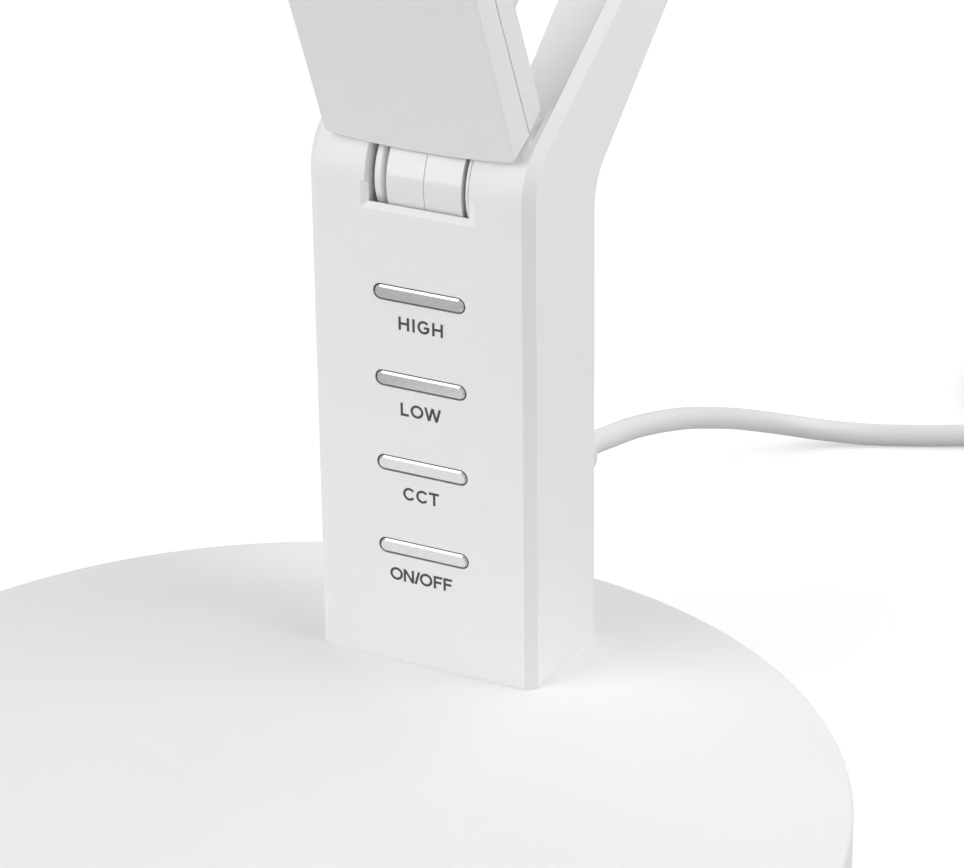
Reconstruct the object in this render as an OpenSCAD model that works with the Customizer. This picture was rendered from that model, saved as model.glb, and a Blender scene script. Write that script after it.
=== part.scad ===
// Folding LED desk lamp: round weighted base, column with four push buttons, leaning cradle,
// hinged arm panel and folding LED head. Z is up, the origin lies under the base's centre and
// the buttons face -Y.

/* [Base] */
// Diameter of the round base
base_d = 219; // [212:1:260]
// Height of the base above the desk
base_h = 17; // [15.5:0.5:24]
// Wall of the base cover
base_wall = 2.4; // [1.8:0.1:3.2]
// Rounding of the cover's top edge
base_edge_r = 1.2; // [0.6:0.1:2]
// Distance of the steel weight inside the ring of base screws
weight_inset = 9.1; // [8:0.1:30]
// Thickness of the steel weight
weight_t = 5.5; // [3:0.1:6]
// Thickness of the bottom plate
plate_t = 2.4; // [2:0.1:2.8]
// Distance of the rubber pad inside the base's rim
foot_inset = 9.5; // [5:0.1:11]
// Height of the pad
foot_t = 1.6; // [1.4:0.1:2.4]
// Depth of the pocket that holds the pad
foot_sink = 0.4; // [0.2:0.05:0.6]
// Distance of the base screws inside the cover's wall
screw_inset = 14; // [11:0.5:15]
// Number of base screws
base_screw_count = 6; // [4:1:8]

/* [Column] */
// Width of the column
column_w = 50; // [48:0.5:60]
// Depth of the column
column_d = 28; // [28:0.5:36]
// Distance of the column's front behind the base's centre
column_y = 56; // [40:1:60]
// Thickness of the front wall
front_wall = 2.4; // [1.8:0.1:2.8]
// Thickness of the side walls
side_wall = 2.2; // [1.8:0.1:2.6]
// Width of the 45 degree chamfer on the front edges
chamfer = 2; // [0.5:0.1:2.2]
// Distance of the inner space's roof below the hinge axis
roof_drop = 16.4; // [16.3:0.1:17.4]
// Radius of the inside bend between the column's back and the cradle
bend_r = 12; // [8:0.5:16]
// Thickness of the rear cover
cover_t = 1.8; // [1.4:0.1:2.4]
// Distance of the rear cover's top below the inner space's roof
cover_drop = 3; // [3:0.1:4]

/* [Hinge] */
// Height of the arm's hinge axis above the base
hinge_h = 105.4; // [105:0.1:112]
// Radius of the column's rounded shoulder
shoulder_r = 13; // [13:0.1:14]
// Chamfer on the edges of the notch
notch_edge = 0.6; // [0.3:0.1:0.8]
// Gap between the barrel and its notch
barrel_gap = 0.3; // [0.2:0.05:0.5]
// Width of the notch in the front
notch_w = 22.2; // [22:0.1:24]
// Depth of the notch below the hinge axis
notch_drop = 4; // [2:0.1:5]
// Left end of the barrel from the middle
barrel_left = 7; // [6:0.1:7.1]
// Right end of the barrel from the middle
barrel_right = 9.6; // [9:0.1:9.7]
// Place of the seam between the barrel's halves
barrel_seam = 1.3; // [0:0.1:3]
// Radius of the steel sleeve inside the barrel
sleeve_r = 6; // [5.4:0.1:7]
// Radius of the hinge pin
pin_r = 4; // [3:0.1:4.5]
// Thickness of a bracket lug
lug_t = 2.5; // [2:0.1:3]
// Radius of a bracket lug
lug_r = 9; // [7:0.1:9.2]

/* [Cradle] */
// Slope of the cradle's front edges
ramp_angle = 32.5; // [31:0.1:34]
// Slope of the cradle's back
tail_angle = 39; // [38:0.1:40]
// Distance of the cradle's back below the hinge axis
tail_off = 12.2; // [11.6:0.1:12.6]
// Length of the cradle from the hinge axis
cradle_len = 105; // [95:1:110]
// Depth of the cradle's floor below the hinge axis
floor_off = 6.3; // [6.3:0.05:7]
// Thickness of the cradle's floor
floor_t = 2; // [1.6:0.1:2.4]
// Width of the slot through the floor
slot_w = 9.6; // [6:0.1:14]
// Start of the slot from the hinge axis
slot_start = 28; // [27:1:40]
// End of the slot from the hinge axis
slot_end = 88; // [60:1:90]

/* [Buttons] */
// Length of a button cap
button_len = 20.2; // [16:0.1:24]
// Height of a button cap
button_h = 3; // [2.6:0.1:4]
// Gap round a button cap
button_gap = 0.25; // [0.15:0.05:0.4]
// How far a cap stands proud of the front
button_proud = 0.3; // [0.1:0.05:0.6]
// Bevel round the face of a cap
button_bevel = 0.4; // [0.2:0.05:0.6]
// Height of the lowest button above the base
button_low = 26.3; // [26:0.1:27]
// Distance of the highest button below the inner space's roof
button_drop = 6.45; // [6:0.05:7]
// Travel of a button
button_travel = 0.5; // [0.3:0.05:0.6]

/* [Arm] */
// Width of the arm panel
arm_w = 42; // [40:0.1:44]
// Thickness of the arm panel
arm_t = 12; // [11:0.1:12]
// Distance between the two hinge axes
arm_len = 240; // [225:1:300]
// Forward lean of the arm at rest
arm_lean = 24; // [0:1:60]
// Start of the panel's front face from the hinge axis
arm_start = 11.3; // [11.3:0.1:13]
// Radius of the bow in the panel's lower edge
arm_bow_r = 157; // [140:1:157]
// How far the panel's foot flares forward
arm_flare = 1.3; // [0:0.1:1.3]
// End of the flare from the hinge axis
flare_end = 75; // [60:1:100]
// Wall of the arm shells
arm_wall = 1.8; // [1.4:0.1:2.2]
// Width of the groove between the arm shells
arm_groove = 0.3; // [0.2:0.05:0.5]

/* [Head] */
// Length of the head from its hinge axis
head_len = 222; // [214:1:222]
// Thickness of the head
head_t = 7.2; // [6.8:0.1:9]
// Forward fold of the head at rest
head_fold = 66; // [0:1:120]
// Wall of the head's top shell
head_wall = 1.2; // [1:0.1:1.6]
// Corner radius of the head's far end
head_corner = 5; // [2:0.5:8]
// Width of the light window
window_w = 33; // [28:0.5:34]
// Radius of the head's hinge knuckles
knuckle_r = 5.6; // [5:0.1:5.8]
// Radius of the head's hinge pin
head_pin_r = 2; // [1.5:0.1:2.2]
// Number of LEDs along the head
led_count = 18; // [10:1:24]

/* [Power lead] */
// Diameter of the lead
lead_d = 5.2; // [4.8:0.1:5.2]
// Height of the lead's exit above the base
lead_h = 18.5; // [18:0.1:20]
// Length of the strain relief outside the column
relief_len = 44.5; // [30:0.5:50]
// Radius of the strain relief at the column
relief_r1 = 5.5; // [5:0.1:5.7]
// Radius of the strain relief at its end
relief_r2 = 4.5; // [3.5:0.1:5]
// Mean diameter of the coil
coil_d = 55; // [50:1:60]
// Size of the adapter along its lead
adapter_l = 62; // [50:1:80]
// Width of the adapter
adapter_w = 34; // [28:1:40]
// Height of the adapter
adapter_h = 26; // [22:1:32]

/* [Fasteners] */
// Shank radius of the case screws
screw_r = 1.45; // [1.2:0.05:1.5]
// Head radius of the case screws
screw_head_r = 2.8; // [2.4:0.1:2.9]
// Head height of the case screws
screw_head_h = 2; // [1.4:0.1:2.1]
// Shank radius of the small screws
small_screw_r = 0.95; // [0.8:0.05:1]
// Head radius of the small screws
small_head_r = 1.9; // [1.6:0.1:2]
// Head height of the small screws
small_head_h = 1.1; // [0.8:0.1:1.2]

/* [Hidden] */
$fn = 64;
eps = 1;
seat = 0.02;
snug = 0.05;
loose = 0.1;
clear = 0.3;
screw_play = 0.2;
small_play = 0.15;
pin_play = 0.03;

cross_l = 0.55;
cross_w = 0.12;
cross_deep = 0.6;

base_r = base_d / 2;
cover_z = foot_t - foot_sink;
cover_top = base_h - base_wall;
plate_top = cover_z + plate_t;
cover_in_r = base_r - base_wall;
foot_r = base_r - foot_inset;
screw_ring = cover_in_r - screw_inset;
weight_r = screw_ring - weight_inset;
base_boss_r = 3.6;
boss_floor = 3;
base_bore_end = cover_top - boss_floor;
base_screw_end = base_bore_end - 1;
rest_ring = 50;
rest_r = 6;
flat_head_h = 0.9;
base_screw_z = foot_t + snug + flat_head_h;

half_w = column_w / 2;
cavity_h = hinge_h - roof_drop;
cover_h = cavity_h - cover_drop;
button_pitch = (cavity_h - button_drop - button_low) / 3;
inner_w = column_w - 2 * side_wall;
open_w = inner_w - 2.6;
back_in = column_d - 2.4;
hinge_y = shoulder_r;
barrel_r = shoulder_r - barrel_gap;
taper = tail_angle - ramp_angle;
tip_r = (tail_off + cos(taper) * shoulder_r - sin(taper) * cradle_len) / (1 + cos(taper));
bend_y = column_d + bend_r;
bend_z = hinge_h + ((bend_y - hinge_y) * sin(tail_angle) - tail_off - bend_r) / cos(tail_angle);
ramp_dir = [cos(ramp_angle), sin(ramp_angle)];
ramp_nrm = [-sin(ramp_angle), cos(ramp_angle)];
tail_nrm = [sin(tail_angle), -cos(tail_angle)];
hinge_at = [hinge_y, hinge_h];
tip_at = hinge_at + cradle_len * ramp_dir + (shoulder_r - tip_r) * ramp_nrm;
bend_at = [bend_y, bend_z];
outer_fn = 128;
wall_hub_r = shoulder_r + 2.4;
hub_w = inner_w - 2;
channel_from = shoulder_r * cos(ramp_angle + 90 - 4.5 - tail_angle);
recess_from = slot_start - 4;
recess_to = cradle_len - 5;
nose_r = 3;

notch_half = notch_w / 2;
ear_skin = 1.1;
pocket_in = notch_half + ear_skin;
lug_in = pocket_in + clear;
lug_out = lug_in + lug_t;
pin_head_r = pin_r + 1.5;
pin_head_t = 1.8;
pin_end = lug_out + pin_head_t;
pocket_out = pin_end + 0.8;
pocket_r = lug_r + 0.5;
bracket_t = 2.3;
bracket_bore = 5;
bracket_top = cavity_h - loose;
bracket_z = bracket_top - bracket_t;
bracket_screw_x = 8;
bracket_screw_y = hinge_y + 6.5;
collar_r = barrel_r - 0.9;
collar_out = barrel_left + 3.4;
collar_in = barrel_left + 1.3;
collar_edge = 0.7;
washer_r = barrel_r - 0.5;
washer_in = notch_half - 0.9;
washer_out = notch_half - 0.2;
washer_edge = 0.2;
spring_r = 7;
spring_t = 0.5;

boss_r = 3.4;
boss_x = 17.5;
boss_y1 = 8;
boss_y2 = column_d - 8;
boss_h = 11;
boss_cap = 1;
rib_t = 1.6;
cover_boss_x = 17.2;
cover_boss_z = 16.6;
cover_boss_r = 3.2;
cover_foot_r = screw_head_r + 1.2;
cover_pad_y = back_in - 1.9;
cover_bore = 9;
cover_screw_y = column_d - screw_head_h - clear;
cover_side_gap = 0.2;
cover_top_gap = 0.4;
cover_in = column_d - cover_t;
hook_w = 24;
hook_len = 6;
hook_top = cavity_h - cover_top_gap;
hook_root = cover_in - 1.6;
hook_in = cover_in - 2.6;
hook_y = cover_in - 0.9;

board_t = 1.6;
switch_body = 6;
switch_h = 3.5;
knob_r = 1.7;
knob_h = 0.8;
plunger_end = front_wall + 2.6;
switch_knob = plunger_end + button_travel + loose;
board_y = switch_knob + knob_h + switch_h;
board_w = 29.2;
post_x = 12.5;
post_r = 2.4;
post_bore = 5;
post_z1 = button_low + button_pitch / 2;
post_z2 = button_low + 2.5 * button_pitch;
board_z1 = button_low - 6;
board_z2 = bracket_z - 0.4;
flange_t = 1;
flange_lip = 1.2;

front_y = -arm_t / 2;
underside_r = shoulder_r + clear;
rear_start = underside_r + 0.6;
rear_foot = [[snug, rear_start], [-front_y - 1.1, rear_start + 0.8],
    [-front_y - 0.35, rear_start + 1.25], [-front_y, rear_start + 2]];
neck_start = barrel_r - 4.7;
neck_top = underside_r + 3;
neck_half_t = arm_t / 2 - 1.5;
groove_deep = 0.4;
arm_screw_room = 0.4;
foot_corner = 1.2;
foot_steps = 10;
arm_end = arm_len - knuckle_r - 0.6;
arm_in_w = arm_w - 2 * arm_wall;
arm_cav_start = rear_start + 5;
arm_cav_end = arm_end - 6;
arm_boss_r = 3;
leaf_t = 1.4;
leaf_end = 62;
arm_row_1 = arm_len * 11 / 24;
arm_row_2 = arm_len * 5 / 6;
arm_screw_at = [[-4, 32], [6, 50], [-12, arm_row_1], [12, arm_row_1], [-12, arm_row_2],
    [12, arm_row_2]];
arm_head_depth = 2.2;
cable_r = 1.2;
cable_x = arm_in_w / 2 - 2;

head_y = front_y - arm_flare;
head_gap = 0.2;
head_start = 7;
head_mid = head_gap + 3.4;
head_top = head_gap + head_t;
head_side_wall = head_wall + 0.4;
head_boss_r = small_screw_r + 1.2;
small_head_sink = small_head_h + 0.2;
head_screw_len = 4;
ear_root = 2;
knuckle_half = 11.7;
head_washer_t = 0.8;
head_washer_r = knuckle_r - 0.8;
ear_in = knuckle_half + head_washer_t + 2 * loose;
neck_half = knuckle_half;
pin_half = arm_w / 2 - 0.6;
bezel_root = 14;
bezel_tip = 10;
window_z1 = head_start + bezel_root;
window_z2 = head_len - bezel_tip;
lip_t = 1.4;
window_step = 2;
diffuser_set = 0.2;
diffuser_flange = 1;
led_pcb_t = 1;
led_l = 3.5;
led_w = 2.8;
led_h = 0.7;
spreader_t = 0.8;
spreader_top = head_top - head_wall;
pcb_top = spreader_top - spreader_t;
pcb_bottom = pcb_top - led_pcb_t;
head_screw_x = 14;
head_screw_z1 = head_start + 6.5;
head_screw_z2 = head_len - 5;

lead_r = lead_d / 2;
exit_y = column_y + column_d + relief_len;
exit_z = base_h + lead_h;
lead_sides = 10;
relief_end_r = 0.8;
relief_in = cover_in - 3.3;
relief_flange_r = relief_r1 + 2.2;
run_pts = [[0, exit_y, exit_z], [0, exit_y + 2, exit_z], [0, exit_y + 7, 35], [0.4, 143, 33.5],
    [0.9, 152, 31.7], [1.3, 161, 29.3], [2, 171, 26.3], [2.7, 181, 22.9], [3.4, 191, 19],
    [5, 202, 14.6], [7.6, 213, 9.8], [12, 220.4, 6.6], [18, 226, 4.3], [27.6, 231.6, 2.8],
    [39.3, 236.8, 2.7], [48.4, 241.2, 2.8], [57.5, 246, 2.9], [66, 250, 3.1], [75, 252.3, 3.2]];
coil_at = [75, 285];
coil_turn_r = coil_d / 2;
coil_rows = 3;
coil_layers = 2;
tie_t = 0.6;
tie_w = 5;
coil_in = coil_turn_r - coil_rows * lead_r;
coil_out = coil_turn_r + coil_rows * lead_r;
coil_h = coil_layers * lead_d;
tail_pts = [[91.2, 256.9, 8.4], [97, 260.6, 8.4], [104, 264, 8.1], [112, 266.4, 7.6],
    [121, 267.8, 7.1], [131, 268, 7], [141, 268, 7]];
adapter_at = [141, 268];
adapter_neck = 8;
adapter_neck_r1 = lead_r + 0.6;
adapter_neck_r2 = lead_r + 1.8;
adapter_edge = 4;
blade_t = 1.5;
blade_w = 6.3;
blade_len = 16;
blade_gap = 12.7;

// ---- places ----

module at_column() translate([0, column_y, base_h]) children();

module at_hinge() at_column() translate([0, hinge_y, hinge_h]) children();

// Z runs up the arm from its hinge axis, -Y is its front
module at_arm() at_hinge() rotate([arm_lean, 0, 0]) children();

// Z runs along the head from its hinge axis, -Y is its light side
module at_head() at_arm() translate([0, head_y, arm_len]) rotate([head_fold, 0, 0]) children();

// Z runs up the cradle from the hinge axis, -Y is its open side
module at_cradle() translate([0, hinge_y, hinge_h]) rotate([tail_angle - 90, 0, 0]) children();

// ---- shapes ----

// Plan drawn in Y and Z, w wide along X
module along_x(w) rotate([90, 0, 90]) linear_extrude(w, center = true) children();

module x_rod(r, x1, x2) translate([x1, 0, 0]) rotate([0, 90, 0]) cylinder(r = r, h = x2 - x1);

module x_tube(r, bore, x1, x2) difference() {
    x_rod(r, x1, x2);
    x_rod(bore, x1 - eps, x2 + eps);
}

module y_rod(r, y1, y2) translate([0, y1, 0]) rotate([-90, 0, 0]) cylinder(r = r, h = y2 - y1);

// Block w wide about the middle, from [y1, z1] to [y2, z2]
module slab(w, y1, y2, z1, z2) translate([-w / 2, y1, z1]) cube([w, y2 - y1, z2 - z1]);

module both_sides() {
    children();
    mirror([1, 0, 0]) children();
}

module stadium(l, h) {
    square([l - h, h], center = true);
    for (s = [-1, 1]) translate([s * (l - h) / 2, 0]) circle(d = h);
}

module round_rect(w, h, r) {
    square([w - 2 * r, h], center = true);
    square([w, h - 2 * r], center = true);
    for (x = [-1, 1], y = [-1, 1]) translate([x * (w / 2 - r), y * (h / 2 - r)]) circle(r = r);
}

// Plan drawn in X and Z, from y1 to y2
module along_y(y1, y2) translate([0, y2, 0]) rotate([90, 0, 0]) linear_extrude(y2 - y1)
    children();

module stadium_plate(l, h, y1, y2) along_y(y1, y2) stadium(l, h);

// Screw along +Z with its head below z = 0 and a cross recess in the head
module screw(r, head_r, head_h, len) {
    cylinder(r = r, h = len);
    translate([0, 0, -head_h]) difference() {
        cylinder(r = head_r, h = head_h);
        for (turn = [0, 90]) rotate([0, 0, turn])
            translate([-cross_l * head_r, -cross_w * head_r, -eps])
                cube([2 * cross_l * head_r, 2 * cross_w * head_r, cross_deep * head_h + eps]);
    }
}

module case_screw(len) screw(screw_r, screw_head_r, screw_head_h, len);

module small_screw(len) screw(small_screw_r, small_head_r, small_head_h, len);

// ---- base ----

module base_screw_places() for (i = [0 : base_screw_count - 1])
    rotate([0, 0, 360 / base_screw_count * (i + 0.5)]) translate([screw_ring, 0, 0]) children();

module column_screw_places() for (x = [-boss_x, boss_x], y = [boss_y1, boss_y2])
    translate([x, column_y + y, 0]) children();

module base_cover() color("whitesmoke") difference() {
    union() {
        rotate_extrude($fn = 128) {
            polygon([[0, cover_top], [cover_in_r, cover_top], [cover_in_r, cover_z],
                [base_r, cover_z], [base_r, base_h - base_edge_r],
                [base_r - base_edge_r, base_h - base_edge_r], [base_r - base_edge_r, base_h],
                [0, base_h]]);
            translate([base_r - base_edge_r, base_h - base_edge_r]) intersection() {
                circle(r = base_edge_r);
                square(2 * base_edge_r);
            }
        }
        base_screw_places() translate([0, 0, plate_top + loose])
            cylinder(r = base_boss_r, h = cover_top - plate_top);
        for (a = [0 : 90 : 270]) rotate([0, 0, a])
            translate([rest_ring, 0, plate_top + weight_t + loose])
                cylinder(r = rest_r, h = cover_top - plate_top - weight_t);
    }
    base_screw_places() translate([0, 0, plate_top])
        cylinder(r = screw_r + seat, h = base_bore_end - plate_top);
    column_screw_places() translate([0, 0, cover_top - eps])
        cylinder(r = screw_r + screw_play, h = base_wall + 2 * eps);
}

module base_weight() color("dimgray")
    translate([0, 0, plate_top]) cylinder(r = weight_r, h = weight_t, $fn = 128);

module base_plate() color("silver") difference() {
    translate([0, 0, cover_z]) cylinder(r = cover_in_r - clear, h = plate_t, $fn = 128);
    translate([0, 0, cover_z - eps]) cylinder(r = foot_r + clear / 2, h = foot_sink + eps,
        $fn = 128);
    base_screw_places() translate([0, 0, foot_t - eps]) {
        cylinder(r = screw_r + screw_play, h = plate_t + 2 * eps);
        cylinder(r = screw_head_r + screw_play, h = eps + flat_head_h + snug);
    }
}

module base_pad() color("dimgray") cylinder(r = foot_r, h = foot_t, $fn = 128);

module base_screws() color("silver") base_screw_places()
    translate([0, 0, base_screw_z])
        screw(screw_r, screw_head_r, flat_head_h, base_screw_end - base_screw_z);

module column_screws() color("silver") column_screw_places()
    translate([0, 0, cover_top]) case_screw(base_wall + boss_h - boss_floor);

// ---- column ----

// Rod of the given radius with its rims chamfered, across the whole width
module chamfered_rod(at, r) translate([0, at[0], at[1]]) {
    x_rod(r, chamfer - half_w, half_w - chamfer, $fn = outer_fn);
    x_rod(r - chamfer, -half_w, half_w, $fn = outer_fn);
}

// Straight front, round shoulder, ramp and round tip in one stretch: the chamfer climbs the
// front edges, rolls over the shoulder, follows the ramp and fades at the tip
module outer_stretch() hull() {
    slab(column_w - 2 * chamfer, 0, column_d, 0, eps);
    slab(column_w, chamfer, column_d, 0, eps);
    chamfered_rod(hinge_at, shoulder_r);
    chamfered_rod(tip_at, tip_r + seat);
}

// What is cut away behind the column and below the cradle, with a round inside bend
module behind() {
    past_tip = tip_at + tip_r * tail_nrm + 2 * tip_r * [-tail_nrm[1], tail_nrm[0]];
    polygon([[column_d, -eps], [column_d, bend_z], bend_at, bend_at - bend_r * tail_nrm, past_tip,
        [past_tip[0], -eps]]);
    translate(bend_at) circle(r = bend_r);
}

// Channel of the cradle, outside a hub of the given radius
module channel(w, hub) translate([0, hinge_y, hinge_h]) along_x(w) difference() {
    rotate(tail_angle) translate([channel_from, -floor_off]) square([2 * cradle_len, cradle_len]);
    circle(r = hub);
}

module cradle_cuts() {
    channel(hub_w, shoulder_r);
    channel(inner_w, wall_hub_r);
    at_cradle() {
        translate([0, tail_off + eps, (recess_from + recess_to) / 2]) rotate([90, 0, 0])
            linear_extrude(tail_off + eps - floor_off - floor_t)
                round_rect(inner_w, recess_to - recess_from, nose_r);
        translate([0, tail_off, (slot_start + slot_end) / 2]) rotate([90, 90, 0])
            linear_extrude(tail_off) stadium(slot_end - slot_start + slot_w, slot_w);
    }
}

// Chamfer along the notch's edges: straight up to the hinge axis, then over the shoulder
module notch_edges() {
    sill = hinge_h - notch_drop;
    out = notch_w + 2 * (notch_edge + eps);
    hull() {
        slab(notch_w, 0, notch_edge, sill, hinge_h);
        slab(out, -eps, 0, sill - notch_edge - eps, hinge_h);
    }
    difference() {
        translate([0, hinge_y, hinge_h]) slab(out - 2 * eps, -shoulder_r - eps, shoulder_r / 2, 0,
            shoulder_r + eps);
        translate([0, hinge_y, hinge_h]) both_sides() translate([notch_half, 0, 0])
            rotate([0, 90, 0]) cylinder(r1 = shoulder_r - notch_edge, r2 = shoulder_r, h = notch_edge);
    }
}

module hinge_cuts() {
    slab(notch_w, -eps, hinge_y, hinge_h - notch_drop, hinge_h + shoulder_r + eps);
    notch_edges();
    translate([0, hinge_y, hinge_h]) {
        x_rod(shoulder_r + loose, -notch_half, notch_half);
        both_sides() {
            x_rod(pin_r + loose, 0, pocket_out);
            x_rod(pocket_r, pocket_in, pocket_out);
            translate([pocket_in, -pocket_r, cavity_h - hinge_h - eps])
                cube([pocket_out - pocket_in, 2 * pocket_r, hinge_h - cavity_h + eps]);
        }
    }
    for (s = [-1, 1]) translate([s * bracket_screw_x, bracket_screw_y, cavity_h - eps])
        cylinder(r = screw_r + seat, h = bracket_bore + eps);
}

module button_places() for (i = [0 : 3])
    translate([0, 0, button_low + i * button_pitch]) children();

module board_post_places() for (x = [-post_x, post_x], z = [post_z1, post_z2])
    translate([x, 0, z]) children();

module column_bosses() {
    for (x = [-boss_x, boss_x], y = [boss_y1, boss_y2]) {
        translate([x, y, 0]) cylinder(r = boss_r, h = boss_h);
        translate([x > 0 ? x : -half_w + side_wall / 2, y - rib_t / 2, 0])
            cube([half_w - side_wall / 2 - boss_x, rib_t, boss_h]);
    }
    board_post_places() y_rod(post_r, front_wall - eps, board_y);
    for (s = [-1, 1]) translate([s * cover_boss_x, 0, cover_boss_z])
        y_rod(cover_boss_r, front_wall - eps, cover_pad_y);
}

module column_shell() color("whitesmoke") at_column() difference() {
    union() {
        difference() {
            outer_stretch();
            along_x(column_w + 2 * eps) behind();
            cradle_cuts();
            slab(inner_w, front_wall, back_in, -eps, cavity_h);
            slab(open_w, back_in - eps, column_d + eps, -eps, cover_h + cover_top_gap);
        }
        column_bosses();
    }
    hinge_cuts();
    button_places() stadium_plate(button_len + 2 * button_gap, button_h + 2 * button_gap, -eps,
        front_wall + eps);
    for (x = [-boss_x, boss_x], y = [boss_y1, boss_y2]) translate([x, y, -eps])
        cylinder(r = screw_r + seat, h = boss_h + eps - boss_cap);
    board_post_places() y_rod(small_screw_r + seat, board_y - post_bore, board_y + eps);
    for (s = [-1, 1]) translate([s * cover_boss_x, 0, cover_boss_z])
        y_rod(screw_r + seat, cover_pad_y - cover_bore, cover_pad_y + eps);
}

module rear_cover() color("whitesmoke") at_column() difference() {
    union() {
        slab(open_w - 2 * cover_side_gap, cover_in, column_d, cover_side_gap, cover_h);
        slab(hook_w, hook_root, cover_in + seat, cover_h - hook_len, cover_h);
        slab(hook_w, hook_in, hook_y, cover_h - hook_len, hook_top);
        for (s = [-1, 1]) translate([s * cover_boss_x, 0, cover_boss_z])
            y_rod(cover_foot_r, cover_pad_y + snug, cover_in + seat);
    }
    for (s = [-1, 1]) translate([s * cover_boss_x, 0, cover_boss_z]) {
        y_rod(screw_r + screw_play, cover_pad_y - eps, column_d + eps);
        y_rod(screw_head_r + loose, cover_screw_y, column_d + eps);
    }
    translate([0, 0, lead_h]) y_rod(relief_r1 + loose, cover_in - eps, column_d + eps);
}

module rear_cover_screws() color("silver") at_column() for (s = [-1, 1])
    translate([s * cover_boss_x, cover_screw_y, cover_boss_z])
        rotate([90, 0, 0]) case_screw(cover_bore);

module control_board() color("seagreen") at_column() difference() {
    slab(board_w, board_y, board_y + board_t, board_z1, board_z2);
    board_post_places() y_rod(small_screw_r + small_play, board_y - eps, board_y + board_t + eps);
}

module tact_switches() color("darkslategray") at_column() button_places() {
    slab(switch_body, board_y - switch_h, board_y, -switch_body / 2, switch_body / 2);
    y_rod(knob_r, switch_knob, board_y - switch_h + seat);
}

module board_screws() color("silver") at_column() board_post_places()
    translate([0, board_y + board_t, 0]) rotate([90, 0, 0]) small_screw(board_t + post_bore - 1);

module hinge_bracket() color("silver") at_column() difference() {
    union() {
        slab(2 * lug_out, hinge_y - lug_r, hinge_y + lug_r, bracket_z, bracket_top);
        both_sides() translate([lug_in, 0, 0]) {
            translate([0, hinge_y, hinge_h]) x_rod(lug_r, 0, lug_t);
            translate([0, hinge_y - lug_r, bracket_z]) cube([lug_t, 2 * lug_r,
                hinge_h - bracket_z]);
        }
    }
    translate([0, hinge_y, hinge_h]) x_rod(pin_r + seat, -pocket_out, pocket_out);
    for (s = [-1, 1]) translate([s * bracket_screw_x, bracket_screw_y, bracket_z - eps])
        cylinder(r = screw_r + screw_play, h = bracket_t + 2 * eps);
}

module bracket_screws() color("silver") at_column() for (s = [-1, 1])
    translate([s * bracket_screw_x, bracket_screw_y, bracket_z]) case_screw(bracket_t + bracket_bore - 1);

module hinge_pin() color("silver") at_hinge() {
    x_rod(pin_r, -lug_out, lug_out);
    both_sides() x_rod(pin_head_r, lug_out, pin_end);
}

// Ring turned with rounded outer edges
module turned_ring(r, bore, edge, x1, x2) rotate([90, 0, 90]) rotate_extrude() {
    translate([bore, x1]) square([r - edge - bore, x2 - x1]);
    translate([bore, x1 + edge]) square([r - bore, x2 - x1 - 2 * edge]);
    for (x = [x1 + edge, x2 - edge]) translate([r - edge, x]) circle(r = edge);
}

module hinge_collar() color("whitesmoke") at_hinge()
    turned_ring(collar_r, pin_r + seat, collar_edge, -collar_out, -collar_in);

module spring_washers() color("silver") at_hinge() for (i = [0, 1])
    translate([-collar_in + loose + i * (spring_t + loose), 0, 0])
        x_tube(spring_r, pin_r + seat, 0, spring_t);

module wear_washer() color("whitesmoke") at_hinge()
    turned_ring(washer_r, pin_r + seat, washer_edge, washer_in, washer_out);

module push_button(i) color("silver") at_column()
    translate([0, 0, button_low + i * button_pitch]) {
        stadium_plate(button_len, button_h, button_bevel - button_proud, front_wall + snug);
        stadium_plate(button_len - 2 * button_bevel, button_h - 2 * button_bevel, -button_proud,
            front_wall);
        bevel_ring();
        stadium_plate(button_len + 2 * flange_lip, button_h + 2 * flange_lip,
            front_wall + snug, front_wall + snug + flange_t);
        y_rod(knob_r, front_wall, plunger_end);
    }

// Bevelled edge of a cap: straight bars along the top and bottom and cones at the ends
module bevel_ring() {
    half_run = (button_len - button_h) / 2;
    along_x(2 * half_run) polygon([[button_bevel - button_proud, -button_h / 2],
        [-button_proud, button_bevel - button_h / 2], [-button_proud, button_h / 2 - button_bevel],
        [button_bevel - button_proud, button_h / 2]]);
    for (s = [-1, 1]) translate([s * half_run, -button_proud, 0]) rotate([-90, 0, 0])
        cylinder(r1 = button_h / 2 - button_bevel, r2 = button_h / 2, h = button_bevel);
}

module high_button() push_button(3);
module low_button() push_button(2);
module cct_button() push_button(1);
module on_off_button() push_button(0);

// ---- arm ----

// Side view of the panel in Y and Z: 1 is the rear half, -1 the front half, flared at its foot
module panel_side(side) polygon(side > 0
    ? concat(rear_foot, [[-front_y, arm_end], [snug, arm_end]])
    : concat([[-snug, arm_end], [-snug, arm_start - eps]], [for (i = [0 : foot_steps])
        let (t = 1 - i / foot_steps) [front_y - arm_flare * t * t,
            flare_end - t * (flare_end - arm_start + eps)]], [[front_y, arm_end]]));

function bow(x) = arm_start + arm_bow_r - sqrt(arm_bow_r * arm_bow_r - x * x);

// Front view of the panel in X and Z: its lower edge is bowed and its lower corners are round
module panel_front() {
    x = arm_w / 2 - foot_corner;
    z = bow(x) + foot_corner;
    polygon(concat([for (i = [-foot_steps : foot_steps]) [x * i / foot_steps, bow(x * i / foot_steps)]],
        [for (a = [-75 : 15 : 0]) [x + foot_corner * cos(a), z + foot_corner * sin(a)]],
        [[arm_w / 2, arm_end], [-arm_w / 2, arm_end]],
        [for (a = [180 : 15 : 255]) [-x + foot_corner * cos(a), z + foot_corner * sin(a)]]));
}

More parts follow.
